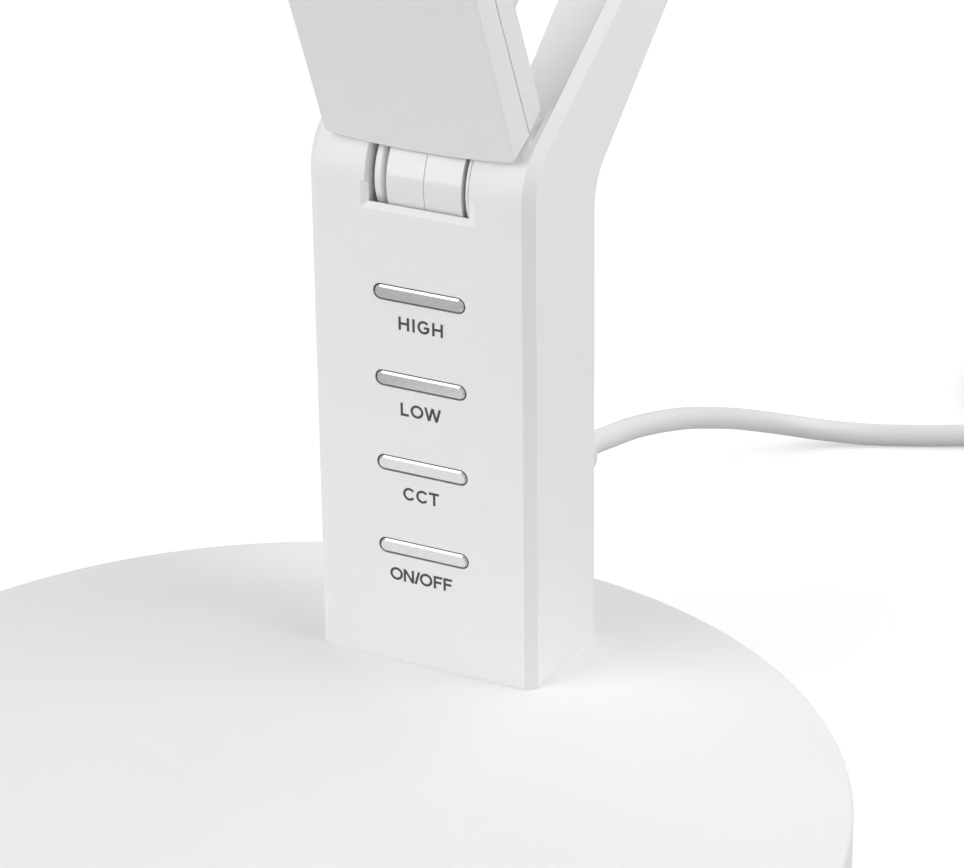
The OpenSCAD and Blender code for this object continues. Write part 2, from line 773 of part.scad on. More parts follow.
// Box shell of one half of the panel, its foot hollowed round the shoulder
module half_panel(side) difference() {
    intersection() {
        along_x(arm_w) panel_side(side);
        along_y(-arm_t, arm_t) panel_front();
    }
    x_rod(underside_r, -arm_w, arm_w);
    slab(arm_in_w, side < 0 ? front_y + arm_wall : -eps, side < 0 ? eps : -front_y - arm_wall,
        arm_cav_start, arm_cav_end);
    both_sides() translate([arm_w / 2 - groove_deep, -arm_groove / 2, 0])
        cube([eps, arm_groove, arm_len]);
}

// Half of the barrel with its neck into one half of the panel
module half_barrel(side, x1, x2) {
    x_rod(barrel_r, x1, x2);
    translate([x1, side < 0 ? -neck_half_t : snug, neck_start])
        cube([x2 - x1, neck_half_t - snug, neck_top - neck_start]);
}

module arm_screw_places() for (p = arm_screw_at) translate([p[0], 0, p[1]]) children();

module arm_bosses(side) arm_screw_places()
    y_rod(arm_boss_r, side < 0 ? front_y + eps : snug, side < 0 ? -snug : -front_y - eps);

// Space for the sleeve and the leaf
module leaf_space(x1, x2) {
    x_rod(sleeve_r + snug, x1 - eps, x2 + eps);
    translate([x1 - eps, -leaf_t / 2 - snug, 0])
        cube([x2 - x1 + 2 * eps, leaf_t + 2 * snug, arm_cav_start + eps]);
}

module arm_front_shell() color("whitesmoke") at_arm() difference() {
    union() {
        half_panel(-1);
        half_barrel(-1, -barrel_left, barrel_seam - snug);
        arm_bosses(-1);
        slab(2 * neck_half, front_y, -snug, arm_end - eps, arm_len);
        translate([0, head_y, arm_len]) x_rod(knuckle_r, -knuckle_half, knuckle_half);
    }
    leaf_space(-barrel_left, barrel_right);
    translate([0, head_y, arm_len]) x_rod(head_pin_r + pin_play, -arm_w, arm_w);
    arm_screw_places() y_rod(screw_r + seat, front_y + arm_wall, eps);
}

module arm_rear_shell() color("whitesmoke") at_arm() difference() {
    union() {
        half_panel(1);
        half_barrel(1, barrel_seam + snug, barrel_right);
        arm_bosses(1);
    }
    leaf_space(-barrel_left, barrel_right);
    arm_screw_places() {
        y_rod(screw_r + screw_play, -eps, -front_y + eps);
        y_rod(screw_head_r + loose, -front_y - arm_head_depth, -front_y + eps);
    }
}

module hinge_leaf() color("silver") at_arm() difference() {
    union() {
        x_rod(sleeve_r, -barrel_left, barrel_right);
        translate([-barrel_left, -leaf_t / 2, 0])
            cube([barrel_left + barrel_right, leaf_t, leaf_end]);
    }
    x_rod(pin_r + snug, -arm_w, arm_w);
    arm_screw_places() y_rod(arm_boss_r + loose, -leaf_t, leaf_t);
}

module arm_screws() color("silver") at_arm() arm_screw_places()
    translate([0, -front_y - arm_head_depth, 0]) rotate([90, 0, 0])
        case_screw(arm_t - arm_head_depth - arm_wall - arm_screw_room);

module arm_cable() color("dimgray") at_arm()
    translate([cable_x, front_y + arm_wall + cable_r + loose, arm_cav_start])
        cylinder(r = cable_r, h = arm_cav_end - arm_cav_start);

// ---- head ----

module head_pin() color("silver") at_arm() translate([0, head_y, arm_len])
    x_rod(head_pin_r, -pin_half, pin_half);

module head_washers() color("silver") at_arm() translate([0, head_y, arm_len]) both_sides()
    x_tube(head_washer_r, head_pin_r + pin_play, knuckle_half + loose,
        knuckle_half + loose + head_washer_t);

// Outline of the head in X and Z, square at the hinge and rounded at the far end
module head_outline(inset) {
    w = arm_w - 2 * inset;
    z1 = head_start + inset;
    z2 = head_len - inset;
    r = head_corner - min(inset, head_corner - eps);
    translate([-w / 2, z1]) square([w, z2 - z1 - r]);
    translate([-w / 2 + r, z1]) square([w - 2 * r, z2 - z1]);
    for (s = [-1, 1]) translate([s * (w / 2 - r), z2 - r]) circle(r = r);
}

module head_screw_places() for (x = [-head_screw_x, head_screw_x],
    z = [head_screw_z1, head_screw_z2]) translate([x, 0, z]) children();

module head_top_shell() color("whitesmoke") at_head() difference() {
    union() {
        difference() {
            along_y(head_mid + snug, head_top) head_outline(0);
            along_y(head_mid, head_top - head_wall) head_outline(head_side_wall);
        }
        head_screw_places() y_rod(head_boss_r, head_mid + snug, head_top - head_wall / 2);
        both_sides() {
            x_rod(knuckle_r, ear_in, arm_w / 2);
            translate([ear_in, head_gap, 0])
                cube([arm_w / 2 - ear_in, knuckle_r - head_gap, head_start - snug]);
            translate([ear_in, head_mid + snug, 0])
                cube([arm_w / 2 - ear_in, knuckle_r - head_mid - snug, head_start + ear_root]);
        }
    }
    x_rod(head_pin_r + 2 * pin_play, -pin_half - screw_play, pin_half + screw_play);
    head_screw_places() y_rod(small_screw_r + seat, head_mid, head_top - head_wall);
}

module window_plan(margin) translate([0, (window_z1 + window_z2) / 2])
    square([window_w + 2 * margin, window_z2 - window_z1 + 2 * margin], center = true);

module head_bezel() color("whitesmoke") at_head() difference() {
    along_y(head_gap, head_mid) head_outline(0);
    along_y(head_gap - eps, head_mid + eps) window_plan(0);
    along_y(head_gap + lip_t, head_mid + eps) window_plan(window_step);
    head_screw_places() {
        y_rod(small_screw_r + small_play, head_gap - eps, head_mid + eps);
        y_rod(small_head_r + loose, head_gap - eps, head_gap + small_head_sink);
    }
}

module diffuser() color("white") at_head() {
    along_y(head_gap + diffuser_set, head_gap + lip_t + snug) window_plan(-loose);
    along_y(head_gap + lip_t + snug, head_gap + lip_t + snug + diffuser_flange)
        window_plan(window_step - loose);
}

module led_board() color("ivory") at_head()
    along_y(pcb_bottom, pcb_top) window_plan(0);

module leds() color("khaki") at_head() for (i = [0 : led_count - 1], s = [-1, 1])
    translate([s * window_w / 4, 0, window_z1 + (window_z2 - window_z1) / led_count * (i + 0.5)])
        slab(led_w, pcb_bottom - led_h, pcb_bottom, -led_l / 2, led_l / 2);

module heat_spreader() color("silver") at_head()
    along_y(pcb_top, spreader_top) window_plan(0);

module head_screws() color("silver") at_head() head_screw_places()
    translate([0, head_gap + small_head_sink, 0]) rotate([-90, 0, 0]) small_screw(head_screw_len);

// ---- power lead ----

// Tapered sleeve with a collar inside the rear cover and a rounded end
module strain_relief() color("whitesmoke") at_column() translate([0, 0, lead_h])
    rotate([-90, 0, 0]) rotate_extrude() {
        end_y = column_d + relief_len;
        polygon([[0, relief_in], [relief_flange_r, relief_in],
            [relief_flange_r, cover_in - loose], [relief_r1, cover_in - loose], [relief_r1, column_d],
            [relief_r2, end_y - relief_end_r], [relief_r2 - relief_end_r, end_y], [0, end_y]]);
        translate([relief_r2 - relief_end_r, end_y - relief_end_r]) circle(r = relief_end_r);
    }

function unit(v) = v / norm(v);

function heading(p, i) = unit(p[min(i + 1, len(p) - 1)] - p[max(i - 1, 0)]);

// Tube swept along a row of points
module sweep(p, r, sides) {
    n = len(p);
    rings = [for (i = [0 : n - 1])
        let (t = heading(p, i), side = unit(cross([0, 0, 1], t)), up = cross(t, side))
        for (k = [0 : sides - 1]) p[i] + r * (cos(360 * k / sides) * side
            + sin(360 * k / sides) * up)];
    walls = [for (i = [0 : n - 2], k = [0 : sides - 1])
        let (a = i * sides + k, b = i * sides + (k + 1) % sides)
        [a, a + sides, b + sides, b]];
    ends = [[for (k = [0 : sides - 1]) k], [for (k = [sides - 1 : -1 : 0]) (n - 1) * sides + k]];
    polyhedron(rings, concat(walls, ends));
}

module lead_run() color("whitesmoke") sweep(run_pts, lead_r, lead_sides);

module lead_tail() color("whitesmoke") sweep(tail_pts, lead_r, lead_sides);

module lead_coil() color("whitesmoke") translate([coil_at[0], coil_at[1], tie_t])
    rotate_extrude() translate([coil_turn_r, coil_h / 2])
        round_rect(coil_out - coil_in, coil_h, lead_r);

module lead_tie() color("dimgray") translate([coil_at[0] - coil_turn_r, coil_at[1], 0])
    rotate([90, 0, 0]) linear_extrude(tie_w, center = true) translate([0, tie_t + coil_h / 2])
        difference() {
            round_rect(coil_out - coil_in + 2 * (clear + tie_t), coil_h + 2 * tie_t, lead_r);
            round_rect(coil_out - coil_in + 2 * clear, coil_h + 2 * snug, lead_r - tie_t);
        }

module adapter_body() color("whitesmoke") translate([adapter_at[0], adapter_at[1], 0]) {
    translate([adapter_neck, 0, adapter_h / 2]) rotate([90, 0, 90]) linear_extrude(adapter_l)
        round_rect(adapter_w, adapter_h, adapter_edge);
    translate([0, 0, tail_pts[6][2]]) rotate([0, 90, 0])
        cylinder(r1 = adapter_neck_r1, r2 = adapter_neck_r2, h = adapter_neck + eps);
}

module adapter_blades() color("silver") for (s = [-1, 1])
    translate([adapter_at[0] + adapter_neck + adapter_l, adapter_at[1] + s * blade_gap / 2 - blade_t / 2,
        adapter_h / 2 - blade_w / 2]) cube([blade_len, blade_t, blade_w]);

base_cover();
base_weight();
base_plate();
base_pad();
base_screws();
column_shell();
column_screws();
rear_cover();
rear_cover_screws();
control_board();
tact_switches();
board_screws();
hinge_bracket();
bracket_screws();
hinge_pin();
hinge_collar();
spring_washers();
wear_washer();
strain_relief();
lead_run();
lead_coil();
lead_tail();
lead_tie();
adapter_body();
adapter_blades();
high_button();
low_button();
cct_button();
on_off_button();
arm_front_shell();
arm_rear_shell();
hinge_leaf();
arm_screws();
arm_cable();
head_pin();
head_washers();
head_top_shell();
head_bezel();
diffuser();
led_board();
leds();
heat_spreader();
head_screws();
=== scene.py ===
# %% [markdown]
# # A folding LED desk lamp
#
# The lamp has a heavy round base, a rectangular column with four metal buttons, a cradle that
# leans back from the column's top, an arm panel that is hinged in the column's head, and a thin
# LED head on the arm. Its measured parts come ready made from the CAD model, as a frame that never
# moves. Blender gives them their finishes and adds what CAD leaves plain: the power lead, the
# printed words, the light and the camera.

# %% Load the frame
import math
import bmesh
import bpy
from mathutils import Matrix, Vector


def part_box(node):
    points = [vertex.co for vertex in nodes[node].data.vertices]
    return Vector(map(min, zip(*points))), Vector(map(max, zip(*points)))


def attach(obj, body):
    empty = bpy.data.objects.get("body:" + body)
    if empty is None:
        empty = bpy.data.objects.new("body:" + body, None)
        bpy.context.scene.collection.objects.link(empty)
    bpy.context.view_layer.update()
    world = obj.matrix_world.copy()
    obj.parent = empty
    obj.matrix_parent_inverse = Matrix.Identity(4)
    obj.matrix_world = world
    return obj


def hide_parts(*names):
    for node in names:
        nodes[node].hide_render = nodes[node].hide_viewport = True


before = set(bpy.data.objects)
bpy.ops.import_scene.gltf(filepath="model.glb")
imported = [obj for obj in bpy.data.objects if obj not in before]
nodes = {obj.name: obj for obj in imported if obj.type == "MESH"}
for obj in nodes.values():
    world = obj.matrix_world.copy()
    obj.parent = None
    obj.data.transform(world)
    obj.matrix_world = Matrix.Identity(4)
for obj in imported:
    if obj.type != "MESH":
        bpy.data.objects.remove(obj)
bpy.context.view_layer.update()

# %% [markdown]
# ## Millimetres and colours
#
# Lamp makers draw in millimetres and Blender counts in metres, so one constant joins the two.
# Colours are written as sRGB hex values, which is how a colour card gives them, and one function
# turns them into the linear numbers that a shader needs.

# %% Units and colours
MM = 0.001


def linear(hex_colour):
    """A hex colour as linear red, green and blue, with a solid fourth channel."""
    channels = [int(hex_colour[i:i + 2], 16) / 255 for i in (1, 3, 5)]
    return [c / 12.92 if c <= 0.04045 else ((c + 0.055) / 1.055) ** 2.4 for c in channels] + [1]


print("white ABS in linear light", [round(c, 3) for c in linear("#F0F0F0")])

# %% [markdown]
# ## The camera
#
# The lamp is seen from a little above and to its right, from about 75 cm away with a long lens,
# so that upright edges stay nearly upright. A long lens is a narrow angle: the focal length in
# pixels, over the picture's width, times Blender's 36 mm film.

# %% Camera
FOCAL_PX, WIDTH_PX, FILM = 3785, 964, 36
CAMERA_AT = (332.4, -550.2, 388.7)
scene = bpy.context.scene
turn, tilt, roll = math.radians(27.73), math.radians(24.76), math.radians(-0.68)
camera_data = bpy.data.cameras.new("camera")
camera_data.lens = FOCAL_PX / WIDTH_PX * FILM
camera_data.sensor_width = FILM
camera = bpy.data.objects.new("camera", camera_data)
scene.collection.objects.link(camera)
camera.matrix_world = (
    Matrix.Translation(Vector(CAMERA_AT) * MM)
    @ Matrix.Rotation(turn, 4, "Z")
    @ Matrix.Rotation(math.pi / 2 - tilt, 4, "X")
    @ Matrix.Rotation(roll, 4, "Z")
)
scene.camera = camera
print("lens", round(camera_data.lens, 2), "mm")

# %% [markdown]
# ## The power lead
#
# A plug-in supply feeds the lamp through a round PVC lead, 5.2 mm thick and about 1.3 m long. It
# leaves the column's back through a moulded sleeve, sinks to the desk and runs away to the right.
# Its spare length is wound in a neat coil of six turns in two layers, held by a hook-and-loop tie.
# The points of the run and the tail are those of the CAD model. The coil's points are worked out:
# each turn is a circle that drifts to the next one over its last three tenths.

# %% Route of the lead
LEAD_D = 5.2
RUN = [
    (0, 128.5, 35.5), (0, 130.5, 35.5), (0, 135.5, 35), (0.4, 143, 33.5), (0.9, 152, 31.7),
    (1.3, 161, 29.3), (2, 171, 26.3), (2.7, 181, 22.9), (3.4, 191, 19), (5, 202, 14.6),
    (7.6, 213, 9.8), (12, 220.4, 6.6), (18, 226, 4.3), (27.6, 231.6, 2.8), (39.3, 236.8, 2.7),
    (48.4, 241.2, 2.8), (57.5, 246, 2.9), (66, 250, 3.1),
]
TAIL = [
    (97, 260.6, 8.4), (104, 264, 8.1), (112, 266.4, 7.6), (121, 267.8, 7.1), (131, 268, 7),
    (141, 268, 7),
]
COIL_X, COIL_Y = 75, 285
TURN_RADII = [32.7, 27.5, 22.3]
LOW_Z, HIGH_Z = 3.2, 8.4
TURNS, STEPS, DRIFT_FROM = 6, 16, 0.7


def coil_points():
    """Three turns inwards on the desk, three turns outwards on top of them."""
    stops = [(r, LOW_Z) for r in TURN_RADII] + [(r, HIGH_Z) for r in TURN_RADII[::-1]]
    points = []
    for i in range(TURNS * STEPS + 2):
        here = min(i / STEPS, TURNS - 0.001)
        turn_now = int(here)
        (r1, z1), (r2, z2) = stops[turn_now], stops[min(turn_now + 1, TURNS - 1)]
        share = max(0, (here - turn_now - DRIFT_FROM) / (1 - DRIFT_FROM))
        share = share * share * (3 - 2 * share)
        r, z = r1 + (r2 - r1) * share, z1 + (z2 - z1) * share
        angle = -math.pi / 2 + 2 * math.pi * i / STEPS
        points.append((COIL_X + r * math.cos(angle), COIL_Y + r * math.sin(angle), z))
    return points


lead_route = [Vector(point) * MM for point in RUN + coil_points() + TAIL]
print("points on the route", len(lead_route))

# %% [markdown]
# ## From points to a smooth path
#
# A Catmull-Rom spline joins the points: it passes through every one of them with no corner, and
# each stretch needs only its four nearest points.

# %% Smooth path of the lead
def smooth_line(points, steps):
    """A Catmull-Rom spline through the points, with this many steps between two of them."""
    line, last = [], len(points) - 1
    for i in range(last):
        p0, p1, p2, p3 = (points[min(max(k, 0), last)] for k in range(i - 1, i + 3))
        for step in range(steps):
            u = step / steps
            line.append((
                2 * p1 + (p2 - p0) * u + (2 * p0 - 5 * p1 + 4 * p2 - p3) * u ** 2
                + (3 * p1 - p0 - 3 * p2 + p3) * u ** 3
            ) / 2)
    return line + [points[-1]]


lead_line = smooth_line(lead_route, steps=4)

# %% [markdown]
# ## From a path to a tube
#
# A curve object with a round bevel would do, but a mesh tube has exact rings, and their centres
# are the lead's measured path. Each ring takes its direction across from the ring before it and
# makes it square to the path again, so that the tube never twists.

# %% New piece from a mesh under construction
def new_piece(name, bm):
    """Turn a finished bmesh into an object of the scene."""
    mesh = bpy.data.meshes.new(name)
    bm.to_mesh(mesh)
    bm.free()
    piece = bpy.data.objects.new(name, mesh)
    scene.collection.objects.link(piece)
    print("piece", name, len(mesh.polygons), "faces")
    return piece


# %% Tube of the lead
def tube(name, line, radius, sides=20):
    """A round tube along a line, closed by a flat face at each end."""
    bm = bmesh.new()
    across, rings = Vector((1, 0, 0)), []
    angles = [2 * math.pi * k / sides for k in range(sides)]
    for before, here, after in zip(line[:1] + line, line, line[1:] + line[-1:]):
        along = (after - before).normalized()
        across = (across - along * across.dot(along)).normalized()
        upward = along.cross(across)
        rings.append([
            bm.verts.new(here + radius * (across * math.cos(a) + upward * math.sin(a)))
            for a in angles
        ])
    for near, far in zip(rings, rings[1:]):
        for k in range(sides):
            bm.faces.new((near[k - 1], near[k], far[k], far[k - 1])).smooth = True
    bm.faces.new(rings[0][::-1])
    bm.faces.new(rings[-1])
    return new_piece(name, bm)


mains_lead = tube("mains_lead", lead_line, LEAD_D / 2 * MM)
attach(mains_lead, "stand")
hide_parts("lead_run", "lead_coil", "lead_tail")

# %% [markdown]
# ## One helper for nodes
#
# Every finish below is a small network of shader nodes. One function adds a node. It sets the
# node's own options first, because they decide which sockets it has. Then it goes through the
# inputs: a plain value is written on the socket, and another node's output is joined to it. An
# input is given by its name, or by its place where a node has two of one name.

# %% Node helper
def add(owner, kind, inputs=None, **options):
    """Add one node to the network of a material or a world."""
    node = owner.node_tree.nodes.new(kind)
    for name, value in options.items():
        setattr(node, name, value)
    for name, value in (inputs or {}).items():
        if isinstance(value, bpy.types.NodeSocket):
            owner.node_tree.links.new(value, node.inputs[name])
        else:
            node.inputs[name].default_value = value
    return node


def new_material(name):
    """An empty node material, with its place in the object's own millimetres."""
    material = bpy.data.materials.new(name)
    material.use_nodes = True
    material.node_tree.nodes.clear()
    place = add(material, "ShaderNodeTexCoord").outputs["Object"]
    in_mm = add(
        material, "ShaderNodeVectorMath", {0: place, "Scale": 1 / MM}, operation="SCALE"
    )
    return material, in_mm.outputs[0]


def close(material, shader):
    """End a network in the material's output."""
    add(material, "ShaderNodeOutputMaterial", {"Surface": shader.outputs[0]})
    print("finish", material.name, len(material.node_tree.nodes), "nodes")
    return material


def dress(material, *names):
    """Give CAD nodes this finish. Their own slot stays and only its material changes."""
    for name in names:
        nodes[name].data.materials[0] = material


# %% [markdown]
# ## Moulded ABS
#
# The white housings are injection-moulded ABS. Their mould was spark eroded, which leaves a very
# fine even grain and a satin look without a clear reflection. ABS has an IOR near 1.53. The grain
# is about 0.1 mm across, which is finer than a pixel here, so it is drawn at 0.35 mm. A slow
# drift in roughness stands for the flow of the melt. The edges of a moulding are never sharp: the
# Bevel node rounds them for the light alone, and the measured solids stay as they are.
#
# The barrel at the foot of the arm turns in the column's head, and its mould was polished there.
# The arm's finish is the same network with one more number, a share that the roughness is
# multiplied by within the barrel's radius of the hinge's axis. It fades to nothing in 1.5 mm. The
# object's own coordinates find that axis in any pose.

# %% Moulded ABS
ABS_ROUGH, ABS_DRIFT, ABS_IOR = 0.48, 0.03, 1.53
FLOW_PER_MM, FLOW_TONE, GRAIN_MM = 0.03, 0.985, 0.35
HINGE_Y, HINGE_Z, BARREL_R = 69, 122.4, 12.7
FADE_FROM, FADE_TO = BARREL_R + 0.5, BARREL_R + 2


def moulded_abs(name, colour, edge, polish=None):
    """Satin ABS with edges rounded by some millimetres and, if asked, a polished barrel."""
    material, mm = new_material(name)
    flow = add(
        material, "ShaderNodeTexNoise", {"Vector": mm, "Scale": FLOW_PER_MM, "Detail": 2.0}
    )
    darker = [c * FLOW_TONE for c in linear(colour)[:3]] + [1]
    tone = add(
        material, "ShaderNodeMix",
        {"Factor": flow.outputs["Fac"], 6: linear(colour), 7: darker}, data_type="RGBA",
    )
    rough = add(
        material, "ShaderNodeMapRange",
        {"Value": flow.outputs["Fac"], "To Min": ABS_ROUGH - ABS_DRIFT,
         "To Max": ABS_ROUGH + ABS_DRIFT},
    )
    if polish:
        from_axis = add(
            material, "ShaderNodeVectorMath", {0: mm, 1: (0, 1, 1), 2: (0, -HINGE_Y, -HINGE_Z)},
            operation="MULTIPLY_ADD",
        )
        radius = add(
            material, "ShaderNodeVectorMath", {0: from_axis.outputs[0]}, operation="LENGTH"
        )
        outside = add(
            material, "ShaderNodeMapRange",
            {"Value": radius.outputs["Value"], "From Min": FADE_FROM, "From Max": FADE_TO,
             "To Min": polish},
        )
        rough = add(
            material, "ShaderNodeMath", {0: rough.outputs[0], 1: outside.outputs[0]},
            operation="MULTIPLY",
        )
    grain = add(
        material, "ShaderNodeTexNoise", {"Vector": mm, "Scale": 1 / GRAIN_MM, "Detail": 1.0}
    )
    rounded = add(material, "ShaderNodeBevel", {"Radius": edge * MM}, samples=6)
    bump = add(
        material, "ShaderNodeBump",
        {"Height": grain.outputs["Fac"], "Normal": rounded.outputs[0], "Strength": 0.06,
         "Distance": 0.02 * MM},
    )
    plastic = add(
        material, "ShaderNodeBsdfPrincipled",
        {"Base Color": tone.outputs[2], "Roughness": rough.outputs[0],
         "Normal": bump.outputs[0], "IOR": ABS_IOR},
    )
    return close(material, plastic)


white_abs = moulded_abs("spark_eroded_abs", "#F0F0F0", edge=0.3)
dress(white_abs, "base_cover", "column_shell", "rear_cover", "adapter_body")
arm_abs = moulded_abs("part_polished_abs", "#EDEDED", edge=0.15, polish=0.25)
dress(arm_abs, "arm_front_shell", "arm_rear_shell", "head_top_shell", "head_bezel")

# %% [markdown]
# ## Polished POM
#
# The collar and the wear washer beside the barrel are turned from POM, a slippery white plastic
# that bearings are made of. A turned and polished face mirrors the light softly.

# %% Polished POM
def polished_pom(name, colour):
    """Glossy POM whose roughness varies by half-millimetre patches."""
    material, mm = new_material(name)
    patches = add(material, "ShaderNodeTexNoise", {"Vector": mm, "Scale": 2.0, "Detail": 2.0})
    rough = add(
        material, "ShaderNodeMapRange",
        {"Value": patches.outputs["Fac"], "To Min": 0.18, "To Max": 0.26},
    )
    plastic = add(
        material, "ShaderNodeBsdfPrincipled",
        {"Base Color": linear(colour), "Roughness": rough.outputs[0], "IOR": 1.48},
    )
    return close(material, plastic)


dress(polished_pom("turned_pom", "#EDEDED"), "hinge_collar", "wear_washer")

# %% [markdown]
# ## Brushed aluminium
#
# The button caps are stamped from aluminium sheet that was brushed at a slant, then anodised
# clear. The lines are about 0.05 mm apart, drawn here at 0.15 mm so that they show. Noise that is
# squeezed across the brushing and stretched along it makes lines of uneven length. The caps were
# polished first, so they still mirror the base in front of them. They lean back by about a
# degree in their slots, and the shading normal does the same. Their bevels get painted shade: the
# colour is made darker towards the gap round them, where the gap's shadow falls, and the Ambient
# Occlusion node finds that gap.

# %% Brushed aluminium
BRUSHING_DEG, STRETCH, SQUEEZE = 38, 3.3, 0.2
LEAN_DEG, GAP_REACH = 1.45, 1.2


def brushed_aluminium(name, darker, lighter):
    """Near-mirror sheet metal with fine slanting lines and painted shade at its edges."""
    material, mm = new_material(name)
    slant = add(
        material, "ShaderNodeMapping",
        {"Vector": mm, "Rotation": (0, math.radians(-BRUSHING_DEG), 0),
         "Scale": (STRETCH, 1, SQUEEZE)},
        vector_type="TEXTURE",
    )
    lines = add(
        material, "ShaderNodeTexNoise", {"Vector": slant.outputs[0], "Scale": 1.3, "Detail": 3.0}
    )
    tone = add(
        material, "ShaderNodeMix",
        {"Factor": lines.outputs["Fac"], 6: linear(darker), 7: linear(lighter)},
        data_type="RGBA",
    )
    rough = add(
        material, "ShaderNodeMapRange",
        {"Value": lines.outputs["Fac"], "To Min": 0.1, "To Max": 0.17},
    )
    # Painted shade: the Ambient Occlusion node finds the gap round the cap, and the colour is made
    # darker there.
    around = add(
        material, "ShaderNodeAmbientOcclusion", {"Distance": GAP_REACH * MM}, samples=8
    )
    painted_gap_shade = add(
        material, "ShaderNodeMapRange",
        {"Value": around.outputs["AO"], "From Min": 0.6, "From Max": 1.0, "To Min": 0.15},
    )
    shaded = add(
        material, "ShaderNodeVectorMath", {0: tone.outputs[2], "Scale": painted_gap_shade.outputs[0]},
        operation="SCALE",
    )
    face = add(material, "ShaderNodeNewGeometry")
    leaning = add(
        material, "ShaderNodeVectorMath",
        {0: face.outputs["Normal"], 1: (0, 0, math.tan(math.radians(LEAN_DEG)))},
        operation="ADD",
    )
    bump = add(
        material, "ShaderNodeBump",
        {"Height": lines.outputs["Fac"], "Normal": leaning.outputs[0], "Strength": 0.25,
         "Distance": 0.01 * MM},
    )
    metal = add(
        material, "ShaderNodeBsdfPrincipled",
        {"Base Color": shaded.outputs[0], "Roughness": rough.outputs[0],
         "Normal": bump.outputs[0], "Metallic": 1.0},
    )
    return close(material, metal)


aluminium = brushed_aluminium("brushed_anodised_aluminium", "#D0D0D0", "#E8E8E8")
dress(aluminium, "high_button", "low_button", "cct_button", "on_off_button")

# %% [markdown]
# ## Lead jacket
#
# The lead's jacket is extruded PVC: smooth and slightly soft, with a faint ripple along it from
# the conductors that are twisted inside. The sleeve on the column's back is moulded of the same.

# %% Extruded PVC
def extruded_pvc(name, colour):
    """Soft PVC with a ripple about 8 mm long."""
    material, mm = new_material(name)
    ripple = add(material, "ShaderNodeTexNoise", {"Vector": mm, "Scale": 0.12, "Detail": 1.0})
    bump = add(
        material, "ShaderNodeBump",
        {"Height": ripple.outputs["Fac"], "Strength": 0.3, "Distance": 0.2 * MM},
    )
    rough = add(
        material, "ShaderNodeMapRange",
        {"Value": ripple.outputs["Fac"], "To Min": 0.32, "To Max": 0.42},
    )
    jacket = add(
        material, "ShaderNodeBsdfPrincipled",
        {"Base Color": linear(colour), "Roughness": rough.outputs[0],
         "Normal": bump.outputs[0], "IOR": 1.53},
    )
    return close(material, jacket)


pvc = extruded_pvc("extruded_pvc", "#E6E6E6")
mains_lead.data.materials.append(pvc)
dress(pvc, "strain_relief")

# %% [markdown]
# ## Plain finishes inside and below
#
# The parts that show only from below, behind or with the housing open share one recipe: a colour
# that drifts a little, a roughness that drifts with it and a fine bump at the size of the real
# surface's grain. The plated steel and brass are metals. The others are rubber, plastics and
# lacquers, each with its own IOR.

# %% Recipe of the plain finishes
ROUGH_DRIFT = 0.06


def plain_finish(name, colour, darker, roughness, grain_mm, bump_mm, metallic=0.0, ior=1.5):
    """A finish of one colour that drifts to a darker one, with its grain in millimetres."""
    material, mm = new_material(name)
    grain = add(
        material, "ShaderNodeTexNoise", {"Vector": mm, "Scale": 1 / grain_mm, "Detail": 3.0}
    )
    tone = add(
        material, "ShaderNodeMix",
        {"Factor": grain.outputs["Fac"], 6: linear(colour), 7: linear(darker)},
        data_type="RGBA",
    )
    rough = add(
        material, "ShaderNodeMapRange",
        {"Value": grain.outputs["Fac"], "To Min": roughness - ROUGH_DRIFT,
         "To Max": roughness + ROUGH_DRIFT},
    )
    bump = add(
        material, "ShaderNodeBump",
        {"Height": grain.outputs["Fac"], "Strength": 0.5, "Distance": bump_mm * MM},
    )
    surface = add(
        material, "ShaderNodeBsdfPrincipled",
        {"Base Color": tone.outputs[2], "Roughness": rough.outputs[0],
         "Normal": bump.outputs[0], "Metallic": metallic, "IOR": ior},
    )
    return close(material, surface)


# %% Metals
zinc = plain_finish("zinc_plated_steel", "#C9CCCE", "#A9ACAF", 0.35, 3.0, 0.01, 1.0)
dress(
    zinc, "base_plate", "base_screws", "column_screws", "rear_cover_screws", "board_screws",
    "hinge_bracket", "bracket_screws", "hinge_pin", "spring_washers", "hinge_leaf", "arm_screws",
    "head_pin", "head_washers", "head_screws", "heat_spreader",
)
black_steel = plain_finish("blackened_steel", "#3A3B3D", "#2A2B2D", 0.5, 6.0, 0.02, 1.0)
dress(black_steel, "base_weight")
nickel = plain_finish("nickel_plated_brass", "#D9D3C4", "#BDB6A4", 0.25, 4.0, 0.005, 1.0)
dress(nickel, "adapter_blades")

# %% Rubber, plastics and boards
rubber = plain_finish("pressed_rubber", "#4A4A4A", "#3C3C3C", 0.8, 0.8, 0.05)
dress(rubber, "base_pad")
black_abs = plain_finish("black_abs", "#26262A", "#1C1C20", 0.5, 0.5, 0.01, ior=1.53)
dress(black_abs, "tact_switches", "arm_cable")
nylon = plain_finish("looped_nylon", "#333438", "#1E1F22", 0.85, 0.5, 0.15)
dress(nylon, "lead_tie")
board = plain_finish("solder_mask", "#2E7A4C", "#26653F", 0.3, 2.0, 0.005, ior=1.55)
dress(board, "control_board")
white_board = plain_finish("white_solder_mask", "#F2F2EE", "#E4E4DE", 0.3, 2.0, 0.005, ior=1.55)
dress(white_board, "led_board")
phosphor = plain_finish("led_phosphor", "#E8CF72", "#DDBE55", 0.4, 0.6, 0.02)
dress(phosphor, "leds")
opal = plain_finish("opal_acrylic", "#F4F4F1", "#ECECE8", 0.35, 0.5, 0.005, ior=1.49)
dress(opal, "diffuser")

